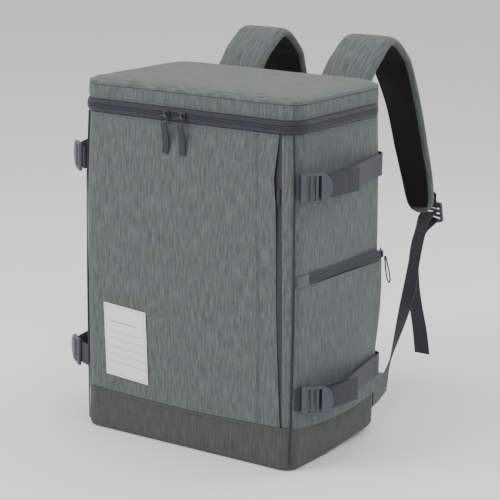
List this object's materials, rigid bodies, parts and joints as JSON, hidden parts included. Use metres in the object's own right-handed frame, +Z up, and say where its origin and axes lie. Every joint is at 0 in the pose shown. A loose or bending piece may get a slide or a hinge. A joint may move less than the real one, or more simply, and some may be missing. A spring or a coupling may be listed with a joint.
{
  "type": "cooler backpack",
  "caption": "Tall insulated box backpack with a zipped lid, front and side pockets, compression straps and padded shoulder straps.",
  "frame": {"origin": "centre of the flat base, where the bag stands", "axes": "+Z up along the height, -Y towards the front with the label, +Y towards the wearer's back, +X to the right seen from the front"},
  "size_m": [0.3974, 0.4378, 0.4873],
  "materials": {
    "body_fabric": "matte heather weave, grey green",
    "base_fabric": "matte heather weave, a little darker",
    "webbing": "ribbed woven webbing, charcoal",
    "zip_tape": "woven zip tape and coil, charcoal",
    "zip_metal": "dark satin metal",
    "lock_plastic": "satin moulded plastic, charcoal",
    "strap_mesh": "black air mesh",
    "label": "smooth white sewn label"
  },
  "bodies": {
    "root": {"main_body": "body_fabric", "base_cup": "base_fabric", "back_pad": "strap_mesh", "lid_side": "body_fabric", "lid_top": "body_fabric", "lid_hinge": "body_fabric", "zip_tape_lower": "zip_tape", "zip_chain": "zip_tape", "zip_tape_upper": "zip_tape", "front_pocket_panel": "body_fabric", "front_corner_strip": "body_fabric", "front_zip_tape": "zip_tape", "front_zip_pull": "webbing", "corner_piping_right": "zip_tape", "corner_piping_left": "zip_tape", "label": "label", "zip_slider_left": "zip_metal", "zip_slider_right": "zip_metal", "pull_ring_left": "zip_metal", "pull_ring_right": "zip_metal", "pull_tab_left": "webbing", "pull_tab_right": "webbing", "side_pocket_panel": "body_fabric", "side_zip_tape": "zip_tape", "side_zip_chain": "zip_tape", "side_zip_patch": "body_fabric", "side_zip_slider": "zip_metal", "side_pull_cord": "webbing", "anchor_upper_right": "webbing", "anchor_lower_right": "webbing", "anchor_upper_left": "webbing", "anchor_lower_left": "webbing", "lock_upper_right": "lock_plastic", "lock_lower_right": "lock_plastic", "lock_upper_left": "lock_plastic", "lock_lower_left": "lock_plastic", "strap_upper_right": "webbing", "strap_lower_right": "webbing", "strap_upper_left": "webbing", "strap_lower_left": "webbing", "tail_upper_right": "webbing", "tail_lower_right": "webbing", "tail_upper_left": "webbing", "tail_lower_left": "webbing", "shoulder_pad_right": "body_fabric", "shoulder_pad_left": "body_fabric", "pad_lining_right": "strap_mesh", "pad_lining_left": "strap_mesh", "strap_lock_right": "lock_plastic", "strap_lock_left": "lock_plastic", "end_loop_right": "webbing", "end_loop_left": "webbing", "lower_strap_right": "webbing", "lower_strap_left": "webbing", "loose_end_right": "webbing", "loose_end_left": "webbing", "strap_wing_right": "body_fabric", "strap_wing_left": "body_fabric"}
  },
  "joints": []
}
